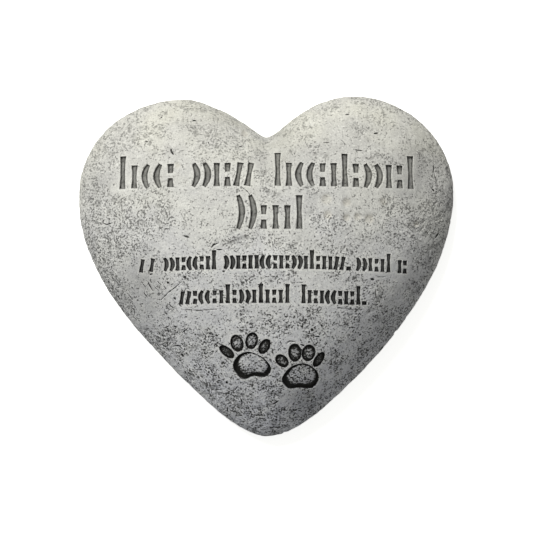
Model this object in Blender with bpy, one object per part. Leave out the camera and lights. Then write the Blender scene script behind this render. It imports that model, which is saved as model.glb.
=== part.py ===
import math

import bmesh
import bpy
import numpy as np
from mathutils import Vector
from mathutils.geometry import interpolate_bezier

# A heart-shaped pet memorial stone, cast in one piece. It lies on its flat underside with the
# domed, inscribed face up: +X to the reader's right, +Y towards the two lobes, +Z up.

# Driving sizes, in metres.
STONE_WIDTH = 0.250  # across the two lobes
STONE_LENGTH = 0.227  # from the tip to the top of the higher lobe
STONE_THICKNESS = 0.060  # from the underside to the crown of the dome
GIRTH_HEIGHT = 0.010  # the widest line's height above the underside
SHOULDER_HEIGHT = 0.012  # how much of the rise belongs to the rounded shoulder
FOOT_INSET = 0.004  # how far the underside's edge lies inside the widest line

LARGE_STROKE_HEIGHT = 0.0155  # short strokes of the two upper rows
LARGE_STROKE_WIDTH = 0.0038
LARGE_STROKE_DEPTH = 0.0020
SMALL_STROKE_HEIGHT = 0.0087  # short strokes of the two lower rows
SMALL_STROKE_WIDTH = 0.0024
SMALL_STROKE_DEPTH = 0.0015
PAD_WIDTH = 0.025  # the large pad of each paw print
PAD_DEPTH = 0.0026  # its sunk border
TOE_DEPTH = 0.0021
WALL_DRAFT = math.radians(14)  # lean of the sunk walls, so that the cast leaves its mould
CUT_CLEARANCE = 0.0010  # how far each cutter stands proud of the dome

HALF_WIDTH = STONE_WIDTH / 2
HALF_LENGTH = STONE_LENGTH / 2
DOME_RISE = STONE_THICKNESS - GIRTH_HEIGHT - SHOULDER_HEIGHT

# The outline's knots, counter-clockwise from the notch: the place, the handle that arrives and
# the handle that leaves, as shares of half the width and half the length.
OUTLINE_KNOT_SHARES = (
    ((0.000, 0.762), (0.058, 0.000), (-0.037, 0.000)),  # notch between the lobes
    ((-0.450, 0.982), (0.217, 0.000), (-0.298, 0.000)),  # top of the left lobe
    ((-1.000, 0.399), (0.000, 0.347), (0.000, -0.398)),  # left side
    ((-0.557, -0.530), (-0.181, 0.217), (0.170, -0.204)),  # left flank
    ((0.000, -1.000), (-0.134, 0.000), (0.154, 0.000)),  # tip
    ((0.580, -0.532), (-0.229, -0.272), (0.230, 0.273)),  # right flank
    ((1.000, 0.412), (0.000, -0.303), (0.000, 0.303)),  # right side
    ((0.457, 1.000), (0.337, 0.000), (-0.232, 0.000)),  # top of the right lobe
)
SPAN_STEPS = (8, 12, 8, 8, 8, 8, 12, 8)  # straight steps from each knot to the next
FINE_SPAN_STEPS = (60,) * len(OUTLINE_KNOT_SHARES)  # where the outline is only measured

# A quarter-round shoulder turns in from the widest line, and the dome rises on it to the
# crown. At the rim the dome's level lines follow the heart. A little further in they follow
# the heart with its notch and tip softened, and towards the crown they become an ellipse.
SHOULDER_REACH = 0.34  # share of the way from the widest line to the crown
CROWN_Y = 0.06 * HALF_LENGTH
CROWN_ELLIPSE = (0.92 * HALF_WIDTH, 0.88 * HALF_LENGTH)
SOFTENING_DEGREES = 18
SOFT_HEART_BLEND = 1.6  # the larger, the sooner the level lines turn into the ellipse
SHARP_HEART_BLEND = 5.0  # the larger, the narrower the rim that keeps the sharp notch
DOME_FULLNESS = 2.4
# Level lines on the solid: the share of the way out, and every how many outline points one
# of their own stands.
DOME_RING_SHARES = (
    (0.16, 4),
    (0.31, 4),
    (0.45, 2),
    (0.57, 2),
    (0.68, 2),
    (0.78, 1),
    (0.86, 1),
    (0.92, 1),
    (0.96, 1),
    (0.988, 1),
    (1.00, 1),
)

# The side's level lines below the widest line: shares of the foot's inset and of the girth's
# height.
SIDE_RING_SHARES = ((0.10, 0.55), (0.42, 0.17), (1.00, 0.00))

# The inscription: rows of separate strokes, each mark in a column of its own.
#   | and !  tall and short upright        /  short leaning stroke
#   ( and )  short bows                    }  tall bow
#   :        short upright, broken in two  .  dot on the baseline
# A row has its baseline and its droop at the stone's sides (shares of half the length), and
# its groups of marks: left end and right end (shares of half the width), and the marks.
LARGE_ROWS = (
    {
        "baseline": 0.456,
        "droop": 0.020,
        "groups": (
            (-0.785, -0.465, "|!((:"),
            (-0.395, -0.060, "))!://"),
            (0.030, 0.785, "|!((:!|:))!:|"),
        ),
    },
    {"baseline": 0.211, "droop": 0.020, "groups": ((-0.165, 0.200, "}}:!!|"),)},
)
SMALL_ROWS = (
    {
        "baseline": -0.013,
        "droop": 0.055,
        "groups": (
            (-0.672, -0.565, "//"),
            (-0.535, -0.252, "))!:((:!|"),
            (-0.222, 0.440, "))!:!!((:!:))!|:!!//."),
            (0.458, 0.652, "))!:!|"),
            (0.682, 0.738, "!:"),
        ),
    },
    {
        "baseline": -0.207,
        "droop": 0.055,
        "groups": ((-0.452, 0.126, "//:((:!|:))!|!:!|"), (0.176, 0.524, "|!:!((:!:|.")),
    },
)
TALL_SHARE = 1.42  # a tall stroke's height over a short one's
LEAN_SHARE = 0.09  # half the sideways run of a leaning stroke, as a share of its height
BOW_SHARE = 0.17  # how far a bow bulges, as a share of its height
BOW_STATIONS = 5
BREAK_SHARES = (0.40, 0.60)  # where a broken stroke stops and goes on, as shares of its height
FLARE_SHARE = 0.60  # half the breadth of a stroke's end, as a share of the stroke width
WAIST_SHARE = 0.44  # half the breadth at its waist
HAIRLINE_SHARE = 0.36  # half the breadth of a bow's ends
NARROWEST_FLOOR_SHARE = 0.25  # share of a sunk shape's breadth that its floor always keeps

# The paw prints. A paw's place is in shares of half the width and half the length. Its pad's
# outline and its toes are in pad widths about that place. A toe has its middle, half its
# length, half its breadth, and its lean to the right in degrees.
LEFT_PAW = {
    "place": (-0.076, -0.573),
    "pad": (
        (-0.10, 0.395),
        (0.295, 0.245),
        (0.515, -0.06),
        (0.37, -0.285),
        (0.05, -0.27),
        (-0.245, -0.345),
        (-0.49, -0.03),
        (-0.38, 0.265),
    ),
    "toes": (
        (-0.638, 0.386, 0.245, 0.125, -51),
        (-0.374, 0.617, 0.237, 0.175, -16),
        (0.005, 0.681, 0.236, 0.167, 14),
        (0.334, 0.533, 0.226, 0.144, 28),
    ),
}
RIGHT_PAW = {
    "place": (0.179, -0.637),
    "pad": (
        (0.06, 0.382),
        (0.40, 0.20),
        (0.485, -0.08),
        (0.30, -0.31),
        (-0.05, -0.298),
        (-0.32, -0.31),
        (-0.50, -0.06),
        (-0.32, 0.24),
    ),
    "toes": (
        (-0.486, 0.443, 0.212, 0.150, -45),
        (-0.153, 0.657, 0.248, 0.178, -4),
        (0.202, 0.648, 0.230, 0.186, 10),
        (0.474, 0.470, 0.235, 0.120, 33),
    ),
}
PAD_STEPS = 3  # points on a pad's outline from one knot to the next
TOE_POINTS = 14
# Floors as (share of the way out, share of the depth), from the sunk border inwards.
PAD_FLOOR_SHARES = ((1.00, 1.00), (0.88, 0.94), (0.68, 0.42), (0.34, 0.24))
TOE_FLOOR_SHARES = ((1.00, 1.00), (0.55, 0.62))


def outline_points(span_steps):
    """The heart's outline at its widest line, counter-clockwise from the notch."""
    points = []
    for index, (place, _, leaving) in enumerate(OUTLINE_KNOT_SHARES):
        next_place, arriving, _ = OUTLINE_KNOT_SHARES[(index + 1) % len(OUTLINE_KNOT_SHARES)]
        steps = span_steps[index]
        shares = (
            place,
            (place[0] + leaving[0], place[1] + leaving[1]),
            (next_place[0] + arriving[0], next_place[1] + arriving[1]),
            next_place,
        )
        bend = [Vector((x * HALF_WIDTH, y * HALF_LENGTH, 0)) for x, y in shares]
        points += interpolate_bezier(*bend, steps + 1)[:-1]
    return points


# The outline's reach about the crown, and the same reach averaged over neighbouring angles.
fine_outline = np.array(outline_points(FINE_SPAN_STEPS))
fine_angles = np.arctan2(fine_outline[:, 1] - CROWN_Y, fine_outline[:, 0])
fine_reaches = np.hypot(fine_outline[:, 0], fine_outline[:, 1] - CROWN_Y)
soft_angles = np.radians(np.arange(-180, 180))
even_reaches = np.interp(soft_angles, fine_angles, fine_reaches, period=math.tau)
offsets = np.arange(-3 * SOFTENING_DEGREES, 3 * SOFTENING_DEGREES + 1)
weights = np.exp(-0.5 * (offsets / SOFTENING_DEGREES) ** 2)
shifted = [np.roll(even_reaches, offset) for offset in offsets]
soft_reaches = np.average(shifted, axis=0, weights=weights)


def dome_height(x, y):
    """Height of the bare dome above the underside."""
    distance = math.hypot(x, y - CROWN_Y)
    angle = math.atan2(y - CROWN_Y, x)
    heart_reach = float(np.interp(angle, fine_angles, fine_reaches, period=math.tau))
    soft_reach = float(np.interp(angle, soft_angles, soft_reaches, period=math.tau))
    ellipse_reach = 1 / math.hypot(
        math.cos(angle) / CROWN_ELLIPSE[0], math.sin(angle) / CROWN_ELLIPSE[1]
    )
    share = min(distance / heart_reach, 1)
    level_reach = (
        ellipse_reach
        + (soft_reach - ellipse_reach) * share**SOFT_HEART_BLEND
        + (heart_reach - soft_reach) * share**SHARP_HEART_BLEND
    )
    level = min(distance / level_reach, 1)
    to_go = 1 - min((1 - share) / SHOULDER_REACH, 1)
    shoulder = SHOULDER_HEIGHT * math.sqrt(1 - to_go**2)
    return GIRTH_HEIGHT + shoulder + DOME_RISE * (1 - level**DOME_FULLNESS)


def bridge(bm, upper, lower):
    """A band of faces between two closed loops. The lower may have 2 or 4 times the points."""
    ratio = len(lower) // len(upper)
    for index, corner in enumerate(upper):
        below = [lower[(index * ratio + step) % len(lower)] for step in range(ratio + 1)]
        bm.faces.new((corner, *below, upper[(index + 1) % len(upper)]))


def fan(bm, loop, middle):
    for index, corner in enumerate(loop):
        bm.faces.new((corner, loop[(index + 1) % len(loop)], middle))


def finish_mesh(bm, name, material):
    bmesh.ops.triangulate(bm, faces=bm.faces)
    bmesh.ops.recalc_face_normals(bm, faces=bm.faces)
    mesh = bpy.data.meshes.new(name)
    bm.to_mesh(mesh)
    bm.free()
    mesh.materials.append(material)
    obj = bpy.data.objects.new(name, mesh)
    bpy.context.collection.objects.link(obj)
    return obj


def heart_body(material):
    """The plain cast: dome, rounded rim, inset foot and flat underside."""
    bm = bmesh.new()
    outline = outline_points(SPAN_STEPS)
    crown = bm.verts.new((0, CROWN_Y, STONE_THICKNESS))
    loops = []
    for share, stride in DOME_RING_SHARES:
        loop = []
        for point in outline[::stride]:
            x = point.x * share
            y = CROWN_Y + (point.y - CROWN_Y) * share
            loop.append(bm.verts.new((x, y, dome_height(x, y))))
        loops.append(loop)
    for inset_share, height_share in SIDE_RING_SHARES:
        loop = []
        for index, point in enumerate(outline):
            along = outline[(index + 1) % len(outline)] - outline[index - 1]
            inward = Vector((-along.y, along.x, 0)).normalized()
            place = point + inward * FOOT_INSET * inset_share
            loop.append(bm.verts.new((place.x, place.y, GIRTH_HEIGHT * height_share)))
        loops.append(loop)
    fan(bm, loops[0], crown)
    for upper, lower in zip(loops, loops[1:]):
        bridge(bm, upper, lower)
    bm.faces.new(reversed(loops[-1]))
    return finish_mesh(bm, "heart_stone", material)


def mark_strokes(mark, height, width):
    """One mark's strokes, each a path of (across, up, half the breadth) from its column's foot."""
    tall = height * TALL_SHARE
    flare = FLARE_SHARE * width
    waist = WAIST_SHARE * width
    hairline = HAIRLINE_SHARE * width
    if mark in "|!":
        top = tall if mark == "|" else height
        return [[(0, 0, flare), (0, top / 2, waist), (0, top, flare)]]
    if mark == "/":
        lean = LEAN_SHARE * height
        return [[(-lean, 0, flare), (0, height / 2, waist), (lean, height, flare)]]
    if mark in "()}":
        top = tall if mark == "}" else height
        bulge = BOW_SHARE * height * (-1 if mark == "(" else 1)
        bow = []
        for station in range(BOW_STATIONS):
            way = station / (BOW_STATIONS - 1)
            swell = math.sin(math.pi * way)
            across = bulge * (swell - 0.5)
            bow.append((across, way * top, hairline + (flare - hairline) * swell))
        return [bow]
    if mark == ":":
        lower = [(0, 0, flare), (0, BREAK_SHARES[0] * height, waist)]
        upper = [(0, BREAK_SHARES[1] * height, waist), (0, height, flare)]
        return [lower, upper]
    return [[(0, 0, flare), (0, width, flare)]]


def add_stroke(bm, stations, depth):
    """A closed cutter for one stroke, whose sides and ends lean in towards its floor."""
    lean = math.tan(WALL_DRAFT)
    last = len(stations) - 1
    loops = []
    for index, (x, y, half) in enumerate(stations):
        before = Vector(stations[max(index - 1, 0)][:2])
        after = Vector(stations[min(index + 1, last)][:2])
        along = (after - before).normalized()
        across = Vector((-along.y, along.x))
        outward = (index == last) - (index == 0)
        floor_half = max(half - depth * lean, half * NARROWEST_FLOOR_SHARE)
        top_half = half + CUT_CLEARANCE * lean
        loop = []
        for side, reach, lift in (
            (1, floor_half, -depth),
            (-1, floor_half, -depth),
            (-1, top_half, CUT_CLEARANCE),
            (1, top_half, CUT_CLEARANCE),
        ):
            corner = Vector((x, y)) + across * side * reach + along * outward * (reach - half)
            loop.append(bm.verts.new((*corner, dome_height(*corner) + lift)))
        loops.append(loop)
    for loop, following in zip(loops, loops[1:]):
        bridge(bm, loop, following)
    bm.faces.new(loops[0])
    bm.faces.new(reversed(loops[-1]))


def add_row(bm, row, height, width, depth):
    for left, right, marks in row["groups"]:
        pitch = (right - left) * HALF_WIDTH / len(marks)
        for column, mark in enumerate(marks):
            x = left * HALF_WIDTH + (column + 0.5) * pitch
            y = (row["baseline"] - row["droop"] * (x / HALF_WIDTH) ** 2) * HALF_LENGTH
            for stroke in mark_strokes(mark, height, width):
                stations = [(x + across, y + up, half) for across, up, half in stroke]
                add_stroke(bm, stations, depth)


def add_sink(bm, outline, depth, floor):
    """A closed cutter for a sunk shape, deepest at its border and rising towards its middle."""
    middle = sum(outline, Vector((0, 0))) / len(outline)
    mean_reach = sum((point - middle).length for point in outline) / len(outline)
    lean = math.tan(WALL_DRAFT)
    top_scale = 1 + CUT_CLEARANCE * lean / mean_reach
    floor_scale = max(1 - depth * lean / mean_reach, NARROWEST_FLOOR_SHARE)
    levels = [(top_scale, CUT_CLEARANCE)]
    levels += [(floor_scale * share, -depth * depth_share) for share, depth_share in floor]
    loops = []
    for scale, lift in levels:
        ring = [middle + (point - middle) * scale for point in outline]
        loops.append([bm.verts.new((*point, dome_height(*point) + lift)) for point in ring])
    for upper, lower in zip(loops, loops[1:]):
        bridge(bm, upper, lower)
    ground = dome_height(*middle)
    fan(bm, loops[-1], bm.verts.new((*middle, ground + levels[-1][1])))
    fan(bm, list(reversed(loops[0])), bm.verts.new((*middle, ground + CUT_CLEARANCE)))


def pad_outline(knots, place):
    """A smooth closed curve through a pad's knots."""
    points = []
    for index, knot in enumerate(knots):
        before = Vector(knots[index - 1])
        here = Vector(knot)
        after = Vector(knots[(index + 1) % len(knots)])
        beyond = Vector(knots[(index + 2) % len(knots)])
        bend = (here, here + (after - before) / 6, after - (beyond - here) / 6, after)
        span = interpolate_bezier(*bend, PAD_STEPS + 1)[:-1]
        points += [place + point * PAD_WIDTH for point in span]
    return points


def toe_outline(toe, pad_place):
    x, y, half_length, half_breadth, lean = toe
    middle = pad_place + Vector((x, y)) * PAD_WIDTH
    up = Vector((math.sin(math.radians(lean)), math.cos(math.radians(lean))))
    across = Vector((up.y, -up.x))
    points = []
    for index in range(TOE_POINTS):
        turn = math.tau * index / TOE_POINTS
        offset = across * half_breadth * math.cos(turn) + up * half_length * math.sin(turn)
        points.append(middle + offset * PAD_WIDTH)
    return points


def add_paw(bm, paw):
    place = Vector((paw["place"][0] * HALF_WIDTH, paw["place"][1] * HALF_LENGTH))
    add_sink(bm, pad_outline(paw["pad"], place), PAD_DEPTH, PAD_FLOOR_SHARES)
    for toe in paw["toes"]:
        add_sink(bm, toe_outline(toe, place), TOE_DEPTH, TOE_FLOOR_SHARES)


def cut(stone, bm, name, material):
    """Subtracts the closed shapes in bm from the stone. They leave their own material behind."""
    cutter = finish_mesh(bm, name, material)
    cutter.display_type = "WIRE"
    cutter.hide_render = True
    boolean = stone.modifiers.new(name, "BOOLEAN")
    boolean.object = cutter
    boolean.operation = "DIFFERENCE"
    boolean.solver = "EXACT"
    boolean.material_mode = "TRANSFER"
    boolean.use_self = True


def plain_material(name, colour, roughness):
    material = bpy.data.materials.new(name)
    material.use_nodes = True
    shader = material.node_tree.nodes["Principled BSDF"]
    shader.inputs["Base Color"].default_value = (*colour, 1)
    shader.inputs["Roughness"].default_value = roughness
    shader.inputs["Metallic"].default_value = 0
    material.diffuse_color = (*colour, 1)
    return material


for old in list(bpy.data.objects):
    bpy.data.objects.remove(old, do_unlink=True)

cement = plain_material("cast_cement", (0.50, 0.49, 0.45), 0.9)
dark_wash = plain_material("dark_wash", (0.13, 0.13, 0.125), 0.95)

heart_stone = heart_body(cement)

large_strokes = bmesh.new()
for row in LARGE_ROWS:
    add_row(large_strokes, row, LARGE_STROKE_HEIGHT, LARGE_STROKE_WIDTH, LARGE_STROKE_DEPTH)
cut(heart_stone, large_strokes, "large_stroke_cutters", dark_wash)

small_strokes = bmesh.new()
for row in SMALL_ROWS:
    add_row(small_strokes, row, SMALL_STROKE_HEIGHT, SMALL_STROKE_WIDTH, SMALL_STROKE_DEPTH)
cut(heart_stone, small_strokes, "small_stroke_cutters", dark_wash)

paws = bmesh.new()
add_paw(paws, LEFT_PAW)
add_paw(paws, RIGHT_PAW)
cut(heart_stone, paws, "paw_cutters", dark_wash)

heart_stone.data.shade_smooth()
heart_stone.data.set_sharp_from_angle(angle=math.radians(32))
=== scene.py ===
import math
from functools import partial

import bmesh
import bpy
import numpy as np
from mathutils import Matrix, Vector
from mathutils.geometry import interpolate_bezier


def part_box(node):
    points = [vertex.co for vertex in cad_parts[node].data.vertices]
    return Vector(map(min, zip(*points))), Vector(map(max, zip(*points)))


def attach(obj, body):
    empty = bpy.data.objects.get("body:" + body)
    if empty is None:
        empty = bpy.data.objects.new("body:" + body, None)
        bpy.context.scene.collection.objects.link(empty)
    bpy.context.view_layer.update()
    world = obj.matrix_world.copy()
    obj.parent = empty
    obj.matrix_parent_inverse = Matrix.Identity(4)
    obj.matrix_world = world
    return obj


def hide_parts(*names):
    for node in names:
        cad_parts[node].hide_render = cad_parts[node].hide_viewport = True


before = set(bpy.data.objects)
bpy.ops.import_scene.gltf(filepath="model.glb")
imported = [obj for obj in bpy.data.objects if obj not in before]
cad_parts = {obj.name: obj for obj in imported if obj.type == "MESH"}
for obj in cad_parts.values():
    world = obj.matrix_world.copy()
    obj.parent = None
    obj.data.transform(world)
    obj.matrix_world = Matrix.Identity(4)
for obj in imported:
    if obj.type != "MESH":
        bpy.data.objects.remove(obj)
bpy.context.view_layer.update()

# A heart-shaped memorial stone, cast in cement, seen from straight above. All sizes are metres.

lowCorner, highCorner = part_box("heart_stone")
halfWidth = (highCorner.x - lowCorner.x) / 2
halfLength = (highCorner.y - lowCorner.y) / 2
thickness = highCorner.z - lowCorner.z

heart = {
    "girthHeight": 0.010,  # the widest line above the ground
    "shoulderHeight": 0.012,  # how much of the rise the rounded shoulder takes
    "shoulderReach": 0.34,  # its share of the way from the widest line to the crown
    "footInset": 0.004,  # the underside's edge lies this far inside the widest line
    "crown": 0.06,  # the crown's place above the middle, as a share of half the length
    "crownEllipse": (0.92, 0.88),  # shares of half the width and of half the length
    "softening": 18,  # degrees over which the notch and the tip are smoothed
    "softBlend": 1.6,  # the larger, the sooner the level lines turn into the ellipse
    "sharpBlend": 5.0,  # the larger, the narrower the rim that keeps the sharp notch
    "fullness": 2.4,  # the larger, the flatter the crown
    "outlineSteps": 90,  # from each knot to the next
    "profileSteps": 2000,
    "rings": 142,  # about 0.9 mm from one to the next
    "spokes": 8,  # points in the first ring, and this many more in each further one
    # place, arriving handle and leaving handle of each knot, counter-clockwise from the notch
    "outline": (
        ((0.000, 0.762), (0.058, 0.000), (-0.037, 0.000)),
        ((-0.450, 0.982), (0.217, 0.000), (-0.298, 0.000)),
        ((-1.000, 0.399), (0.000, 0.347), (0.000, -0.398)),
        ((-0.557, -0.530), (-0.181, 0.217), (0.170, -0.204)),
        ((0.000, -1.000), (-0.134, 0.000), (0.154, 0.000)),
        ((0.580, -0.532), (-0.229, -0.272), (0.230, 0.273)),
        ((1.000, 0.412), (0.000, -0.303), (0.000, 0.303)),
        ((0.457, 1.000), (0.337, 0.000), (-0.232, 0.000)),
    ),
}

# How the cast skin has weathered. The names are those of the tree's inputs.
skin = {
    "Hollow Size": 0.032,
    "Hollow Depth": 0.0009,
    "Dent Size": 0.0080,
    "Dent Depth": 0.00055,
    "Grain Size": 0.0026,
    "Grain Depth": 0.00030,
    "Pit Spacing": 0.0034,
    "Pit Depth": 0.0008,
    "Pit Rarity": 0.35,  # the share of the cells with next to no pit
    "Pit Breadth": 0.8,  # half the widest pit, as a share of the spacing
    "Dimple Depth": 0.00105,
    "Crack Size": 0.0065,
    "Crack Floor": 0.004,  # how wide a crack is at its floor and its mouth, of its noise's swing
    "Crack Width": 0.022,
    "Crack Start": 0.52,  # where the dent noise begins to be cracked, and where it is all cracked
    "Crack Full": 0.62,
    "Zone Size": 0.017,
    "Zone Start": 0.40,  # where the zone noise begins to be rough, and where it is all rough
    "Zone Full": 0.60,
    "Flank Height": 0.036,  # the skin is rougher below this
    "Flank Fade": 0.016,
    "Flank Roughness": 0.10,
    "Calm Start": 0.0006,
    "Calm Width": 0.0060,  # smoother cement this far around the strokes and prints
    "Calm Dents": 0.25,  # the share of the dents and the grain that is left beside them
    "Lip Width": 0.0013,  # the dry brush, with its painted highlight, reaches this far around a stroke's mouth
    "Foot Band": 0.004,  # the wear fades out this near to the ground
    "Seed": 3.7,
}

# Places in mm where the skin is rougher, or smoother where the last number is negative, and how
# far each reaches.
roughPlaces = (
    (-89, 25, 42, 0.12), (-70, 40, 30, 0.08), (-32, 84, 30, 0.11), (97, 27, 34, 0.14),
    (55, 17, 26, 0.10), (2, -88, 46, 0.12), (-36, -62, 26, 0.12), (34, -30, 16, 0.12),
    (-80, 86, 30, -0.12), (-37, 36, 26, -0.10), (50, 42, 26, -0.12), (-34, -34, 24, -0.12),
    (60, -34, 14, -0.05), (91, -3, 22, -0.05), (68, -56, 30, 0.08), (42, 98, 40, -0.11),
    (81, 89, 34, -0.12), (-66, -68, 26, -0.12), (-40, -92, 20, -0.12), (80, -38, 24, 0.13),
)

# Places in mm where the cement is stained darker, or bleached where the last number is negative.
# Those on the right lobe's upper right are painted shade, and the bleached ones on the lower left
# flank are painted light.
stainAndPaintedLightPlaces = (
    (-80, -8, 26, 0.30), (93, 56, 22, 0.26), (8, 72, 20, 0.20), (11, 88, 14, 0.14),
    (0, 9, 22, -0.16), (-11, 86, 16, -0.16), (-72, 56, 14, 0.14), (-112, 56, 18, 0.14),
    (24, -86, 20, 0.28), (104, 76, 24, 0.22), (-44, -84, 28, -0.28), (-66, -62, 28, -0.20),
    (48, 103, 30, -0.08), (-88, 88, 20, -0.10), (38, 26, 14, -0.14), (6, -39, 16, -0.10),
    (-72, -24, 14, 0.12), (-100, 86, 18, 0.08),
)

# Shallow dimples, each with its place and its reach in mm.
dimplePlaces = (
    (38.8, 43.3, 4.8), (52.0, 41.4, 3.8), (75.8, 42.2, 3.2), (39.6, 33.4, 3.8), (51.6, 31.6, 3.2),
    (58.9, 32.2, 3.6), (66.7, 31.0, 4.4), (98, 28, 3.0), (-14, 88, 3.6), (-58, 66, 3.2),
)

# Rows of strokes: | and ! tall and short, / leaning, ( ) short bows, } tall bow,
# : short and broken in two, . dot. Ends of the groups are shares of half the width.
largeStrokes = {
    "height": 0.0155,
    "width": 0.0038,
    "depth": 0.0020,
    "rows": (
        (0.456, 0.020, (
            (-0.785, -0.465, "|!((:"),
            (-0.395, -0.060, "))!://"),
            (0.030, 0.785, "|!((:!|:))!:|"),
        )),
        (0.211, 0.020, ((-0.165, 0.200, "}}:!!|"),)),
    ),
}
smallStrokes = {
    "height": 0.0087,
    "width": 0.0026,
    "depth": 0.0015,
    "rows": (
        (-0.013, 0.055, (
            (-0.672, -0.565, "//"),
            (-0.535, -0.252, "))!:((:!|"),
            (-0.222, 0.440, "))!:!!((:!:))!|:!!//."),
            (0.458, 0.652, "))!:!|"),
            (0.682, 0.738, "!:"),
        )),
        (-0.207, 0.055, (
            (-0.452, 0.126, "//:((:!|:))!|!:!|"),
            (0.176, 0.524, "|!:!((:!:|."),
        )),
    ),
}
strokeShape = {
    "tall": 1.42,  # a tall stroke's height over a short one's
    "lean": 0.09,  # half a leaning stroke's sideways run, as a share of its height
    "bow": 0.17,  # how far a bow bulges, as a share of its height
    "break": (0.40, 0.60),  # where a broken stroke stops and goes on
    "flare": 0.60,  # half the breadth of a stroke's ends, in stroke widths
    "waist": 0.44,
    "hairline": 0.36,
    "stations": 9,
    # these go to the tree's inputs
    "Draft": math.radians(14),  # lean of the sunk walls, so that the cast leaves its mould
    "Clearance": 0.0010,  # how far a cutter stands proud of the dome
    "Narrowest Floor": 0.25,
    "Ragged": 0.0007,  # how far an edge wanders, and over what length
    "Ragged Size": 0.0022,
}

# Nicks and cracks in the skin: the breadth of each and the points it runs through, in mm.
nicks = {
    "depth": 0.0009,
    "step": 0.0008,
    "tip": 0.4,  # share of the breadth that is left at the ends
    "marks": (
        (1.3, (-62.3, 76.8), (-61.7, 74.8), (-60.4, 72.8)), (1.1, (-69.9, 98.4), (-68.6, 98.1)),
        (1.0, (-79.7, 81.8), (-77.8, 81.8)), (1.2, (-38.2, 80.5), (-36.9, 80.2)),
        (0.8, (-19.4, 78), (-16.7, 78), (-14.8, 77.4)), (0.8, (-23.2, 77.1), (-22.5, 77.5)),
        (0.6, (-14, 49.5), (-12, 48.1), (-10.7, 46.2)), (0.8, (-108.2, 28.8), (-106.2, 30.8)),
        (0.8, (-106.9, 28.2), (-104.3, 27.5), (-100.4, 28.7)),
        (1.5, (-53.3, 19.9), (-51.3, 19.2), (-49.4, 18.6)),
        (1.1, (-35.1, 12.1), (-33.8, 14), (-31.2, 14.7)), (0.9, (-31.9, 10.8), (-28, 10.8)),
        (1.4, (70.2, 87), (73.5, 87.7)), (0.9, (58, 76), (60.1, 75.5), (62.7, 75.5)),
        (0.8, (52.1, 99.9), (54.8, 100.3)), (0.9, (37.2, 80.6), (41.1, 80.9)),
        (0.7, (98.9, 76.3), (100.9, 74.3), (101.5, 71)),
        (0.7, (111.3, 71.3), (110.6, 63.4), (111.9, 56.8)), (1.3, (109.4, 51.2), (110.7, 49.3)),
        (1.2, (114.2, 22.5), (111.7, 19.1)), (1.6, (49.8, 30.2), (50.4, 29.2)),
        (1.9, (67.3, -8.1), (70, -8.5)), (0.6, (62.2, -9.5), (65.2, -8.7)),
        (0.6, (72, -7), (77.4, -6.6)), (2.2, (28.8, -40.2), (30.4, -41.6)),
        (1.1, (31.1, -45.2), (34.4, -45.6)), (1.5, (35.4, -37.4), (36.2, -39)),
        (0.8, (13.1, -49.8), (15, -48.2), (18.9, -48.5)),
        (0.6, (-68.8, -22.2), (-63.1, -16.8), (-57.2, -12.3), (-54, -9.7)),
        (1.8, (-53.3, -7.3), (-51.3, -6.3)), (1.5, (-64.3, -10.1), (-62.4, -11)),
        (1.0, (-67, -7.2), (-66.3, -8.8)), (1.4, (-59.9, -19.8), (-58.6, -21.4)),
        (1.0, (-56.7, -24), (-54.7, -26.2)), (1.0, (-66.2, -30), (-64.2, -31)),
        (1.0, (-60.3, -39.1), (-58.4, -39.1)), (0.7, (-54.5, -43), (-51, -40.2)),
        (1.0, (-68.3, -52.1), (-65.7, -53.4)),
        (1.0, (-61.4, -52.5), (-58.8, -51.8), (-56.1, -52.1)),
        (0.8, (-80.5, -11), (-78.5, -13.5)), (0.9, (-77, -9.5), (-75.6, -12.5), (-73.2, -16.5)),
        (0.8, (-72.6, -13), (-70.4, -15.2)), (0.8, (-70.5, -9.6), (-67.8, -12.2)),
        (0.8, (-66.5, -12.5), (-64.6, -14.8)), (1.3, (-75.6, -5.2), (-73.4, -4.8)),
        (0.8, (-79.6, -17.5), (-77.2, -20.2)), (0.7, (-63, -24.2), (-60.6, -27)),
        (2.0, (-55.6, -57.3), (-54.2, -59.4)), (1.9, (-26.2, -75), (-25.4, -76.6)),
        (0.8, (-18.8, -78.5), (-20.7, -81.2)), (0.9, (-20.1, -83), (-16.8, -83)),
        (0.9, (-16.9, -86.1), (-15.6, -90.2)), (0.9, (-25.6, -92.5), (-25.7, -96.2)),
        (0.9, (4.8, -87.1), (7.4, -88.8), (3.4, -90.7)), (1.8, (5.8, -101), (7.4, -101.8)),
        (0.5, (45.9, -26.5), (54.4, -27.8), (62.3, -27.9)),
        (0.5, (-54.1, -27.9), (-43.6, -28.4), (-32, -27.5)), (1.0, (-16.6, -33.5), (-15.3, -36.1)),
        (1.0, (-5.6, -11.9), (-3.7, -11.6), (-2.7, -10)), (1.2, (-28, -3.3), (-26.1, -3)),
        (0.9, (44.5, -54.1), (46.4, -56.4)), (1.4, (60.4, -45), (62, -44)),
        (0.6, (63.6, -43), (65.6, -42.6), (68.2, -43.8)), (0.7, (71.1, -15), (71.1, -20.2)),
        (1.3, (21.9, -50.3), (24.9, -51.5)), (0.9, (22.7, -53.4), (23.6, -56.2)),
        (0.8, (45.1, 105.3), (47.9, 105.4)), (0.9, (-37.6, 101.4), (-35.5, 100.9)),
        (0.9, (-49.1, 95.3), (-47.2, 95.9), (-45.2, 95.3)),
    ),
}

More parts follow.
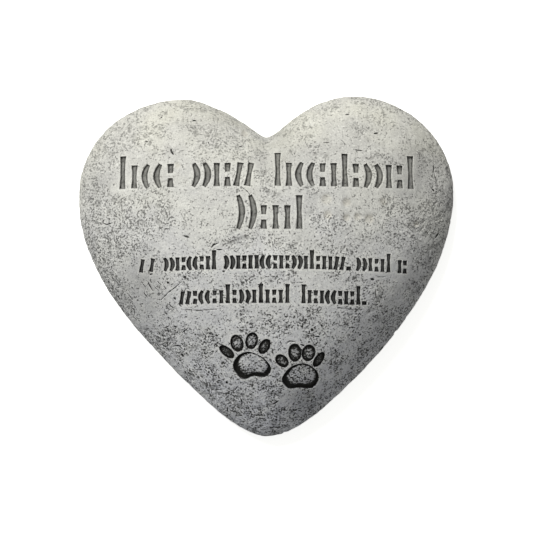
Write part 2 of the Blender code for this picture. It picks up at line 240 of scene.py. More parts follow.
# Paw prints. Pads and toes are in pad widths about the paw's place. A toe is its middle, half
# its length, half its breadth, its lean to the right in degrees, and how dark its wash is.
paws = {
    "seed": 11,
    "padSteps": 8,  # from each knot of a pad to the next
    "toeSteps": 40,
    "wobble": 0.012,  # how far the edges wander, as a share of the reach
    "smoothing": (0.2, 0.3, 0.3, 0.2),
    "stipple": 0.00010,
    "padWidth": 0.025,
    "padDepth": 0.0026,
    "toeDepth": 0.0021,
    # from the wall to the middle: share of the reach, of the depth, and of the wash
    "padFloor": ((1.0, 1.0, 1.0), (0.94, 1.0, 1.0), (0.89, 0.92, 0.97), (0.83, 0.66, 0.62),
                 (0.77, 0.40, 0.15), (0.62, 0.28, 0.03), (0.42, 0.24, 0.0), (0.22, 0.22, 0.0)),
    "toeFloor": ((1.0, 1.0, 0.95), (0.90, 0.96, 0.80), (0.78, 0.80, 0.52), (0.62, 0.60, 0.28),
                 (0.36, 0.50, 0.0)),
    "left": {
        "place": (-0.076, -0.573),
        "pad": ((-0.10, 0.395), (0.295, 0.245), (0.515, -0.06), (0.37, -0.285),
                (0.05, -0.27), (-0.245, -0.345), (-0.49, -0.03), (-0.38, 0.265)),
        "padWash": 0.08,
        "padShift": (0.12, 0.26),
        "toes": (
            (-0.638, 0.386, 0.245, 0.125, -51, 0.48),
            (-0.374, 0.617, 0.237, 0.175, -16, 0.22),
            (0.005, 0.681, 0.236, 0.167, 14, 0.18),
            (0.334, 0.533, 0.226, 0.144, 28, 0.44),
        ),
    },
    "right": {
        "place": (0.179, -0.637),
        "pad": ((0.06, 0.382), (0.40, 0.20), (0.485, -0.08), (0.30, -0.31),
                (-0.05, -0.298), (-0.32, -0.31), (-0.50, -0.06), (-0.32, 0.24)),
        "padWash": 0.19,
        "padShift": (0.10, 0.28),
        "toes": (
            (-0.486, 0.443, 0.212, 0.150, -45, 0.35),
            (-0.153, 0.657, 0.248, 0.178, -4, 0.26),
            (0.202, 0.648, 0.230, 0.186, 10, 0.22),
            (0.474, 0.470, 0.235, 0.120, 33, 0.50),
        ),
    },
}


# sRGB hex to the linear values that Blender's sockets hold.
def linear(hexColour):
    shares = [int(hexColour[i:i + 2], 16) / 255 for i in (1, 3, 5)]
    return (*(s / 12.92 if s <= 0.04045 else ((s + 0.055) / 1.055) ** 2.4 for s in shares), 1)


# One node with its settings. Its inputs come in order, or by name or number in a dictionary,
# each as a value, a socket, or a node whose first output is meant. None leaves one as it is.
def addNode(tree, kind, *inputs, **settings):
    node = tree.nodes.new(kind)
    for name, value in settings.items():
        setattr(node, name, value)
    wanted = {}
    for index, value in enumerate(inputs):
        wanted.update(value if isinstance(value, dict) else {index: value})
    for key, value in wanted.items():
        source = value.outputs[0] if isinstance(value, bpy.types.Node) else value
        if isinstance(source, bpy.types.NodeSocket):
            tree.links.new(source, node.inputs[key])
        elif source is not None:
            node.inputs[key].default_value = source
    row, column = divmod(len(tree.nodes) - 1, 14)  # laid out in rows of 14 in the node editor
    node.location = (190 * column, -330 * row)
    return node


smooth = {"interpolation_type": "SMOOTHSTEP"}  # for a ramp without corners
crownY = heart["crown"] * halfLength


# The heart at its widest line, counter-clockwise from the notch.
def outlinePoints(stepsPerSpan):
    knots = heart["outline"]
    points = []
    for index, (place, _, leaving) in enumerate(knots):
        nextPlace, arriving, _ = knots[(index + 1) % len(knots)]
        shares = (
            place,
            (place[0] + leaving[0], place[1] + leaving[1]),
            (nextPlace[0] + arriving[0], nextPlace[1] + arriving[1]),
            nextPlace,
        )
        bend = [Vector((x * halfWidth, y * halfLength, 0)) for x, y in shares]
        points += interpolate_bezier(*bend, stepsPerSpan + 1)[:-1]
    return np.array(points)[:, :2]


fineOutline = outlinePoints(heart["outlineSteps"])
fineAngles = np.arctan2(fineOutline[:, 1] - crownY, fineOutline[:, 0])
fineReaches = np.hypot(fineOutline[:, 0], fineOutline[:, 1] - crownY)
evenAngles = np.radians(np.arange(-180, 180))
evenReaches = np.interp(evenAngles, fineAngles, fineReaches, period=math.tau)
turns = np.arange(-3 * heart["softening"], 3 * heart["softening"] + 1)
turnWeights = np.exp(-0.5 * (turns / heart["softening"]) ** 2)
softReaches = np.average([np.roll(evenReaches, t) for t in turns], axis=0, weights=turnWeights)


# Height of the bare stone at a share of the way out from the crown. The shoulder takes the share
# along the heart's outline, and the dome takes the one along its level lines.
def profileHeight(share, level):
    toGo = 1 - np.minimum((1 - share) / heart["shoulderReach"], 1)
    shoulder = heart["shoulderHeight"] * np.sqrt(1 - toGo ** 2)
    rise = thickness - heart["girthHeight"] - heart["shoulderHeight"]
    return heart["girthHeight"] + shoulder + rise * (1 - level ** heart["fullness"])


# The same height at a place, or at arrays of places.
def domeHeight(x, y):
    x, y = np.asarray(x, float), np.asarray(y, float)
    distance = np.hypot(x, y - crownY)
    angle = np.arctan2(y - crownY, x)
    heartReach = np.interp(angle, fineAngles, fineReaches, period=math.tau)
    softReach = np.interp(angle, evenAngles, softReaches, period=math.tau)
    ellipseReach = 1 / np.hypot(
        np.cos(angle) / (heart["crownEllipse"][0] * halfWidth),
        np.sin(angle) / (heart["crownEllipse"][1] * halfLength),
    )
    share = np.minimum(distance / heartReach, 1)
    levelReach = (
        ellipseReach
        + (softReach - ellipseReach) * share ** heart["softBlend"]
        + (heartReach - softReach) * share ** heart["sharpBlend"]
    )
    return profileHeight(share, np.minimum(distance / levelReach, 1))


def addObject(name, mesh):
    obj = bpy.data.objects.new(name, mesh)
    bpy.context.scene.collection.objects.link(obj)
    return obj


# The dome and the rounded rim in rings that grow by as many points each, and a flat underside.
def bareCasting():
    loop = np.vstack([fineOutline, fineOutline[:1]])
    walked = np.concatenate([[0], np.cumsum(np.hypot(*np.diff(loop, axis=0).T))])
    walked /= walked[-1]
    along = np.roll(fineOutline, -1, axis=0) - np.roll(fineOutline, 1, axis=0)
    inward = np.stack([-along[:, 1], along[:, 0]], axis=1)
    inward /= np.linalg.norm(inward, axis=1)[:, None]
    inward = np.vstack([inward, inward[:1]])

    # rings stand at even steps along a middling profile, so the steep rim gets as many
    shares = np.linspace(0, 1, heart["profileSteps"])
    heights = profileHeight(shares, shares)
    steps = np.hypot(np.diff(shares) * fineReaches.mean(), np.diff(heights))
    domeWay = np.concatenate([[0], np.cumsum(steps)])
    slant = math.hypot(heart["footInset"], heart["girthHeight"])
    sideLength = math.pi / 2 * slant / math.sqrt(2)  # about a quarter of an ellipse
    rings, spokes = heart["rings"], heart["spokes"]
    domeRings = round(rings * domeWay[-1] / (domeWay[-1] + sideLength))
    domeShares = np.interp(np.linspace(0, domeWay[-1], domeRings + 1)[1:], domeWay, shares)

    places = [np.array([[0, crownY, thickness]])]
    for ring in range(1, rings + 1):
        at = np.arange(spokes * ring) / (spokes * ring)
        x, y = (np.interp(at, walked, loop[:, axis]) for axis in (0, 1))
        if ring <= domeRings:
            share = domeShares[ring - 1]
            x = x * share
            y = crownY + (y - crownY) * share
            z = domeHeight(x, y)
        else:
            turn = (ring - domeRings) / (rings - domeRings) * math.pi / 2
            inset = heart["footInset"] * (1 - math.cos(turn))
            x = x + inset * np.interp(at, walked, inward[:, 0])
            y = y + inset * np.interp(at, walked, inward[:, 1])
            z = np.full_like(x, heart["girthHeight"] * (1 - math.sin(turn)))
        places.append(np.stack([x, y, z], axis=1))

    faces = [(0, k + 1, (k + 1) % spokes + 1) for k in range(spokes)]
    firsts = [1 + spokes * ring * (ring - 1) // 2 for ring in range(rings + 1)]
    for ring in range(2, rings + 1):
        inner, outer = firsts[ring - 1], firsts[ring]
        innerCount, outerCount = spokes * (ring - 1), spokes * ring
        for side in range(spokes):
            for k in range(ring):
                a = outer + (side * ring + k) % outerCount
                b = outer + (side * ring + k + 1) % outerCount
                c = inner + (side * (ring - 1) + k) % innerCount
                faces.append((a, b, c))
                if k < ring - 1:
                    d = inner + (side * (ring - 1) + k + 1) % innerCount
                    faces.append((c, b, d))
    faces.append(tuple(range(firsts[rings] + spokes * rings - 1, firsts[rings] - 1, -1)))
    mesh = bpy.data.meshes.new("bare_casting")
    mesh.from_pydata(np.vstack(places).tolist(), [], faces)
    mesh.update()
    mesh.shade_smooth()
    return addObject("bare_casting", mesh)


# The strokes of one mark, each a list of (across, up, half the breadth).
def markStrokes(mark, height, width):
    shape = strokeShape
    flare, waist, hairline = (shape[part] * width for part in ("flare", "waist", "hairline"))
    tall = height * shape["tall"]
    count = shape["stations"]
    ways = np.linspace(0, 1, count)
    narrowing = flare + (waist - flare) * np.sin(math.pi * ways)
    if mark in "|!":
        top = tall if mark == "|" else height
        return [list(zip(0 * ways, top * ways, narrowing))]
    if mark == "/":
        lean = shape["lean"] * height
        return [list(zip(lean * (2 * ways - 1), height * ways, narrowing))]
    if mark in "()}":
        top = tall if mark == "}" else height
        bulge = shape["bow"] * height * (-1 if mark == "(" else 1)
        swell = np.sin(math.pi * ways)
        return [list(zip(bulge * (swell - 0.5), top * ways, hairline + (flare - hairline) * swell))]
    if mark == ":":
        below, above = shape["break"]
        ways = np.linspace(0, 1, count // 2 + 1)
        lower = zip(0 * ways, below * height * ways, flare + (waist - flare) * ways)
        upper = zip(0 * ways, (above + (1 - above) * ways) * height, waist + (flare - waist) * ways)
        return [list(lower), list(upper)]
    return [[(0, 0, flare), (0, width / 2, flare), (0, width, flare)]]


# The lines of a set of rows, each a list of (x, y, half the breadth).
def rowLines(strokes):
    lines = []
    for baseline, droop, groups in strokes["rows"]:
        for left, right, marks in groups:
            pitch = (right - left) * halfWidth / len(marks)
            for column, mark in enumerate(marks):
                x = left * halfWidth + (column + 0.5) * pitch
                y = (baseline - droop * (x / halfWidth) ** 2) * halfLength
                for stations in markStrokes(mark, strokes["height"], strokes["width"]):
                    lines.append([(x + across, y + up, half) for across, up, half in stations])
    return lines


# The lines of the nicks, in small steps so that their edges can wander.
def nickLines():
    lines = []
    for breadth, *corners in nicks["marks"]:
        corners = np.array(corners) / 1000
        walked = np.concatenate([[0], np.cumsum(np.hypot(*np.diff(corners, axis=0).T))])
        count = max(3, round(walked[-1] / nicks["step"]) + 1)
        at = np.linspace(0, walked[-1], count)
        x, y = (np.interp(at, walked, corners[:, axis]) for axis in (0, 1))
        swell = nicks["tip"] + (1 - nicks["tip"]) * np.sin(math.pi * at / walked[-1])
        lines.append(list(zip(x, y, breadth / 2000 * swell)))
    return lines


# A curve object of lines that lie on the dome, with half the breadth as radius.
def layLines(name, lines):
    curve = bpy.data.curves.new(name, "CURVE")
    curve.dimensions = "3D"
    for stations in lines:
        spline = curve.splines.new("POLY")
        spline.points.add(len(stations) - 1)
        for point, (x, y, half) in zip(spline.points, stations):
            point.co = (x, y, float(domeHeight(x, y)), 1)
            point.radius = half
    return addObject(name, curve)


# A tree with a geometry input and output, and one named input for each (name, kind, value).
def newTree(name, inputs):
    tree = bpy.data.node_groups.new(name, "GeometryNodeTree")
    face = tree.interface
    face.new_socket("Geometry", in_out="INPUT", socket_type="NodeSocketGeometry")
    face.new_socket("Geometry", in_out="OUTPUT", socket_type="NodeSocketGeometry")
    for label, kind, value in inputs:
        socket = face.new_socket(label, in_out="INPUT", socket_type="NodeSocket" + kind)
        if value is not None:
            socket.default_value = value
    return tree, addNode(tree, "NodeGroupInput").outputs


# Stores values on a geometry's points, for the materials to read.
def stored(add, geometry, values):
    for name, value in values.items():
        geometry = add("GeometryNodeStoreNamedAttribute", {
            "Geometry": geometry, "Name": name, "Value": value,
        }, data_type="FLOAT", domain="POINT")
    return geometry


# Ends a tree in plain faces with one material.
def finishTree(add, geometry, material):
    real = add("GeometryNodeRealizeInstances", geometry)
    finished = add("GeometryNodeSetMaterial", {"Geometry": real, "Material": material})
    add("NodeGroupOutput", finished)


# Runs a tree on an object and hands back the plain mesh that it makes.
def runTree(obj, tree, values, name):
    modifier = obj.modifiers.new(tree.name, "NODES")
    modifier.node_group = tree
    for socket in tree.interface.items_tree:
        if socket.in_out == "INPUT" and socket.name in values:
            modifier[socket.identifier] = values[socket.name]
    bpy.context.view_layer.update()
    evaluated = obj.evaluated_get(bpy.context.evaluated_depsgraph_get())
    mesh = bpy.data.meshes.new_from_object(evaluated)
    mesh.name = name
    obj.modifiers.remove(modifier)
    return addObject(name, mesh)


# Sweeps each line as a stroke: a flat floor at one depth under the dome, and leaning walls.
def strokeTree():
    sizes = ("Draft", "Clearance", "Narrowest Floor", "Ragged", "Ragged Size")
    tree, given = newTree("pressed strokes", (
        ("Dome", "Object", None),
        ("Depth", "Float", largeStrokes["depth"]),
        *((label, "Float", strokeShape[label]) for label in sizes),
        ("Wash", "Material", None),
    ))
    add = partial(addNode, tree)

    # what each station of a line knows: its place, its heading, half its breadth, how far along
    line = add("GeometryNodeCaptureAttribute", given["Geometry"], domain="POINT")
    position = add("GeometryNodeInputPosition")
    known = (
        ("VECTOR", "Centre", position),
        ("VECTOR", "Heading", add("GeometryNodeInputTangent")),
        ("FLOAT", "Half", add("GeometryNodeInputRadius")),
        ("FLOAT", "Way", add("GeometryNodeSplineParameter")),
    )
    for number, (kind, label, source) in enumerate(known, 1):
        line.capture_items.new(kind, label)
        tree.links.new(source.outputs[0], line.inputs[number])
    centre, heading, half, way = list(line.outputs)[1:5]

    # a section two across and one high, whose corners are moved to their places afterwards
    section = add("GeometryNodeCurvePrimitiveQuadrilateral", {"Width": 2.0, "Height": 1.0})
    corner = add("GeometryNodeCaptureAttribute", section, domain="POINT")
    corner.capture_items.new("VECTOR", "Corner")
    tree.links.new(position.outputs[0], corner.inputs[1])
    sweep = add("GeometryNodeCurveToMesh", {
        "Curve": line.outputs[0], "Profile Curve": corner.outputs[0], "Fill Caps": True,
    })
    split = add("ShaderNodeSeparateXYZ", corner.outputs[1])
    side = split.outputs[0]
    level = add("ShaderNodeMath", split.outputs[1], 0.5, operation="ADD")

    flatHeading = add("ShaderNodeVectorMath", heading, (1, 1, 0), operation="MULTIPLY")
    forward = add("ShaderNodeVectorMath", flatHeading, operation="NORMALIZE")
    across = add("ShaderNodeVectorMath", (0, 0, 1), forward, operation="CROSS_PRODUCT")
    slope = add("ShaderNodeMath", given["Draft"], operation="TANGENT")
    lost = add("ShaderNodeMath", given["Depth"], slope, operation="MULTIPLY")
    floorHalf = add("ShaderNodeMath", half, lost, operation="SUBTRACT")
    least = add("ShaderNodeMath", half, given["Narrowest Floor"], operation="MULTIPLY")
    floorHalf = add("ShaderNodeMath", floorHalf, least, operation="MAXIMUM")
    mouthHalf = add("ShaderNodeMath", given["Clearance"], slope, half, operation="MULTIPLY_ADD")
    reach = add("ShaderNodeMix", level, {2: floorHalf, 3: mouthHalf}, data_type="FLOAT")

    # the edge wanders, as one pressed from a worn mould does
    aside = add("ShaderNodeMath", side, half, operation="MULTIPLY")
    edge = add("ShaderNodeVectorMath", across, aside, centre, operation="MULTIPLY_ADD")
    raggedScale = add("ShaderNodeMath", 1.0, given["Ragged Size"], operation="DIVIDE")
    wander = add("ShaderNodeTexNoise", {"Vector": edge, "Scale": raggedScale, "Detail": 1.0})
    wander = add("ShaderNodeMath", wander, 0.5, operation="SUBTRACT")
    reach = add("ShaderNodeMath", wander, given["Ragged"], reach, operation="MULTIPLY_ADD")

    # the two ends move out or in by as much as the sides do
    margin = 0.001
    atEnd = add("ShaderNodeMath", way, 1 - margin, operation="GREATER_THAN")
    atStart = add("ShaderNodeMath", way, margin, operation="LESS_THAN")
    end = add("ShaderNodeMath", atEnd, atStart, operation="SUBTRACT")
    growth = add("ShaderNodeMath", reach, half, operation="SUBTRACT")
    stretch = add("ShaderNodeMath", end, growth, operation="MULTIPLY")
    aside = add("ShaderNodeMath", side, reach, operation="MULTIPLY")
    place = add("ShaderNodeVectorMath", across, aside, centre, operation="MULTIPLY_ADD")
    place = add("ShaderNodeVectorMath", forward, stretch, place, operation="MULTIPLY_ADD")

    # each corner lands on the dome, then goes up by the clearance or down by the depth
    overhead = (0, 0, 5 * thickness)
    above = add("ShaderNodeVectorMath", place, (1, 1, 0), overhead, operation="MULTIPLY_ADD")
    dome = add("GeometryNodeObjectInfo", {"Object": given["Dome"]}, transform_space="RELATIVE")
    ground = add("GeometryNodeRaycast", {
        "Target Geometry": dome.outputs["Geometry"], "Source Position": above,
        "Ray Direction": (0, 0, -1), "Ray Length": 1.0,
    })
    cut = add("ShaderNodeMath", 0.0, given["Depth"], operation="SUBTRACT")
    lift = add("ShaderNodeMix", level, {2: cut, 3: given["Clearance"]}, data_type="FLOAT")
    raised = add("ShaderNodeCombineXYZ", {2: lift})
    landed = add("ShaderNodeVectorMath", ground.outputs["Hit Position"], raised, operation="ADD")
    shaped = add("GeometryNodeSetPosition", {"Geometry": sweep, "Position": landed})
    sunk = add("ShaderNodeMath", lift, cut, operation="DIVIDE")
    shaped = stored(add, shaped, {"wash": sunk, "side": side})
    finishTree(add, shaped, given["Wash"])
    return tree


# How near the skin is to a spot (x, y and reach in mm): all of an amount there, none at its reach.
def nearness(add, here, spot, amount, **settings):
    x, y, reach = (size / 1000 for size in spot)
    away = add("ShaderNodeVectorMath", here, (x, y, 0), operation="DISTANCE").outputs["Value"]
    return add("ShaderNodeMapRange", away, 0, reach, amount, 0, **settings)


# Wears the bare casting: broad hollows, dents, grain, dimples, and pits and cracks in zones.
def skinTree():
    tree, given = newTree("weathered skin", (
        ("Marks", "Object", None),
        *((label, "Float", value) for label, value in skin.items()),
        ("Finish", "Material", None),
    ))
    add = partial(addNode, tree)
    place = add("GeometryNodeInputPosition")
    height = add("ShaderNodeSeparateXYZ", place).outputs[2]

    # noises, each with its size, its detail and its own place in the fourth dimension
    apart = 10.0
    fields = {}
    for label, size, detail in (
        ("hollow", "Hollow Size", 1.0), ("dent", "Dent Size", 2.0), ("grain", "Grain Size", 2.0),
        ("zone", "Zone Size", 2.0), ("thread", "Crack Size", 2.0), ("crackZone", "Dent Size", 1.0),
    ):
        seed = add("ShaderNodeMath", given["Seed"], apart * len(fields), operation="ADD")
        scale = add("ShaderNodeMath", 1.0, given[size], operation="DIVIDE")
        fields[label] = add("ShaderNodeTexNoise", {
            "Vector": place, "W": seed, "Scale": scale, "Detail": detail,
        }, noise_dimensions="4D")

    flank = add("ShaderNodeMath", given["Flank Height"], height, operation="SUBTRACT")
    fade, rougher = given["Flank Fade"], given["Flank Roughness"]
    flank = add("ShaderNodeMapRange", flank, 0.0, fade, 0.0, rougher, **smooth)
    zone = add("ShaderNodeMath", fields["zone"], flank, operation="ADD")
    level = add("ShaderNodeVectorMath", place, (1, 1, 0), operation="MULTIPLY")
    for *spot, rougher in roughPlaces:
        zone = add("ShaderNodeMath", zone, nearness(add, level, spot, rougher), operation="ADD")
    zone = add("ShaderNodeMapRange", zone, given["Zone Start"], given["Zone Full"], **smooth)
    # stains, with painted shade on the right lobe's upper right and painted light on the lower left
    # flank
    stain = 0.0
    for *spot, darker in stainAndPaintedLightPlaces:
        stain = add("ShaderNodeMath", nearness(add, level, spot, darker), stain, operation="ADD")

    marks = add("GeometryNodeObjectInfo", {"Object": given["Marks"]}, transform_space="RELATIVE")
    marks = marks.outputs["Geometry"]
    away = add("GeometryNodeProximity", {"Geometry": marks}, target_element="FACES")
    away = away.outputs["Distance"]
    calm = add("ShaderNodeMapRange", away, given["Calm Start"], given["Calm Width"], **smooth)
    # a band around the strokes and prints: a pale dry brush with painted highlight
    lip = add("ShaderNodeMapRange", away, 0.0, given["Lip Width"], 1.0, 0.0)

    bend = 0.0022  # the grain pulls the pits and the dimples up to this far out of round
    pull, back = (bend, bend, bend), (-bend / 2, -bend / 2, 0)
    bent = fields["grain"].outputs[1]
    bent = add("ShaderNodeVectorMath", bent, pull, place, operation="MULTIPLY_ADD")
    level = add("ShaderNodeVectorMath", bent, (1, 1, 0), back, operation="MULTIPLY_ADD")
    dimple = 0.0
    for spot in dimplePlaces:
        cupped = nearness(add, level, spot, 1, **smooth)
        dimple = add("ShaderNodeMath", cupped, dimple, operation="MAXIMUM")

    # a cup in each cell of a bent pattern, and cracks where a noise crosses its middle
    scale = add("ShaderNodeMath", 1.0, given["Pit Spacing"], operation="DIVIDE")
    cells = add("ShaderNodeTexVoronoi", {
        "Vector": bent, "W": given["Seed"], "Scale": scale,
    }, voronoi_dimensions="4D")
    chance = add("FunctionNodeSeparateColor", cells.outputs["Color"])
    rarity, breadth = given["Pit Rarity"], given["Pit Breadth"]
    size = add("ShaderNodeMapRange", chance, rarity, 1.1, 0.001, breadth, **smooth)
    cup = add("ShaderNodeMath", cells.outputs["Distance"], size, operation="DIVIDE")
    cup = add("ShaderNodeMath", cup, 2.0, operation="POWER")
    cup = add("ShaderNodeMath", 1.0, cup, operation="SUBTRACT")
    cup = add("ShaderNodeMath", cup, 0.0, operation="MAXIMUM")

    thread = add("ShaderNodeMath", fields["thread"], 0.5, operation="SUBTRACT")
    thread = add("ShaderNodeMath", thread, operation="ABSOLUTE")
    inner, outer = given["Crack Floor"], given["Crack Width"]
    crack = add("ShaderNodeMapRange", thread, inner, outer, 1.0, 0.0, **smooth)
    start, full = given["Crack Start"], given["Crack Full"]
    cracked = add("ShaderNodeMapRange", fields["crackZone"], start, full, **smooth)
    crack = add("ShaderNodeMath", crack, cracked, operation="MULTIPLY")
    broken = add("ShaderNodeMath", cup, crack, operation="MAXIMUM")
    exposed = add("ShaderNodeMath", zone, calm, operation="MULTIPLY")
    pit = add("ShaderNodeMath", broken, exposed, operation="MULTIPLY")

    # bumps and hollows about the bare dome, quieter beside the strokes, then pits and dimples
    quiet = add("ShaderNodeMapRange", calm, 0, 1, given["Calm Dents"], 1)
    swing = add("ShaderNodeMath", fields["hollow"], 0.5, operation="SUBTRACT")
    depth = add("ShaderNodeMath", swing, given["Hollow Depth"], operation="MULTIPLY")
    for label, size in (("dent", "Dent Depth"), ("grain", "Grain Depth")):
        swing = add("ShaderNodeMath", fields[label], 0.5, operation="SUBTRACT")
        much = add("ShaderNodeMath", quiet, given[size], operation="MULTIPLY")
        depth = add("ShaderNodeMath", swing, much, depth, operation="MULTIPLY_ADD")
    depth = add("ShaderNodeMath", depth, 2.0, operation="MULTIPLY")
    depth = add("ShaderNodeMath", pit, given["Pit Depth"], depth, operation="MULTIPLY_ADD")
    depth = add("ShaderNodeMath", dimple, given["Dimple Depth"], depth, operation="MULTIPLY_ADD")
    grounded = add("ShaderNodeMapRange", height, 0.0, given["Foot Band"], 0.0, -1.0)
    depth = add("ShaderNodeMath", depth, grounded, operation="MULTIPLY")
    normal = add("GeometryNodeInputNormal")
    push = add("ShaderNodeVectorMath", normal, {"Scale": depth}, operation="SCALE")

    geometry = stored(add, given["Geometry"], {
        "pit": pit, "calm": calm, "zone": zone, "lip": lip, "stain": stain, "dimple": dimple,
    })
    worn = add("GeometryNodeSetPosition", {"Geometry": geometry, "Offset": push})
    finishTree(add, worn, given["Finish"])
    return tree


# A smooth closed curve through a pad's knots.
def padOutline(knots, place):
    points = []
    for index, knot in enumerate(knots):
        before, here = Vector(knots[index - 1]), Vector(knot)
        after, beyond = (Vector(knots[(index + step) % len(knots)]) for step in (1, 2))
        bend = (here, here + (after - before) / 6, after - (beyond - here) / 6, after)
        points += interpolate_bezier(*bend, paws["padSteps"] + 1)[:-1]
    return np.array([place + point * paws["padWidth"] for point in points])


def toeOutline(toe, place):
    x, y, halfLong, halfBroad, lean = toe
    middle = place + Vector((x, y)) * paws["padWidth"]
    up = Vector((math.sin(math.radians(lean)), math.cos(math.radians(lean))))
    across = Vector((up.y, -up.x))
    turns = np.linspace(0, math.tau, paws["toeSteps"], endpoint=False)
    return np.array([
        middle + (across * halfBroad * math.cos(t) + up * halfLong * math.sin(t)) * paws["padWidth"]
        for t in turns
    ])


# A closed cutter for one pad or toe: a sunk border, and a floor that rises towards the middle.
def pressedShape(name, outline, depth, floor, middleWash, shift, rng):
    middle = outline.mean(axis=0)
    reach = np.linalg.norm(outline - middle, axis=1).mean()
    lean = math.tan(strokeShape["Draft"])
    clearance = strokeShape["Clearance"]
    count = len(outline)
    wobble = rng.normal(size=count)
    wobble = np.convolve(np.tile(wobble, 3), paws["smoothing"], "same")[count:2 * count]
    wander = (1 + paws["wobble"] * wobble)[:, None]
    rings = [(1 + clearance * lean / reach, clearance, -clearance / depth)]
    for share, sunk, wash in floor:
        wash = middleWash + (1 - middleWash) * wash
        rings.append((share * (1 - depth * lean / reach), -depth * sunk, wash))
    places, washes = [], []
    for index, (scale, lift, wash) in enumerate(rings):
        ring = middle + shift * (1 - scale) + (outline - middle) * (scale * wander)
        stipple = rng.normal(size=count) * (paws["stipple"] if index > 1 else 0)
        places.append(np.column_stack([ring, domeHeight(*ring.T) + lift + stipple]))
        washes += [wash] * count
    faces = []
    for level in range(len(rings) - 1):
        for k in range(count):
            a, b = level * count + k, level * count + (k + 1) % count
            faces.append((a, b, b + count, a + count))
    bottom, top = len(rings) * count, len(rings) * count + 1
    ground = float(domeHeight(*middle))
    places.append([[*middle, ground + rings[-1][1]], [*middle, ground + clearance]])
    washes += [middleWash, rings[0][2]]
    last = (len(rings) - 1) * count
    faces += [(last + k, last + (k + 1) % count, bottom) for k in range(count)]
    faces += [((k + 1) % count, k, top) for k in range(count)]
    mesh = bpy.data.meshes.new(name)
    mesh.from_pydata(np.vstack(places).tolist(), [], faces)
    layer = mesh.attributes.new("wash", "FLOAT", "POINT")
    layer.data.foreach_set("value", np.array(washes, np.float32))
    mesh.materials.append(pawWash)
    return addObject(name, mesh)


# Turns every face of a closed mesh outwards.
def faceOutward(obj):
    bm = bmesh.new()
    bm.from_mesh(obj.data)
    bmesh.ops.triangulate(bm, faces=bm.faces)
    bmesh.ops.recalc_face_normals(bm, faces=bm.faces)
    bm.to_mesh(obj.data)
    bm.free()


def joined(name, parts):
    bm = bmesh.new()
    materials = []
    for part in parts:
        for material in part.data.materials:
            if material not in materials:
                materials.append(material)
    for part in parts:
        start = len(bm.faces)
        bm.from_mesh(part.data)
        bm.faces.ensure_lookup_table()
        for face in bm.faces[start:]:
            face.material_index = materials.index(part.data.materials[face.material_index])
        bpy.data.objects.remove(part, do_unlink=True)
    mesh = bpy.data.meshes.new(name)
    bm.to_mesh(mesh)
    bm.free()
    for material in materials:
        mesh.materials.append(material)
    return addObject(name, mesh)


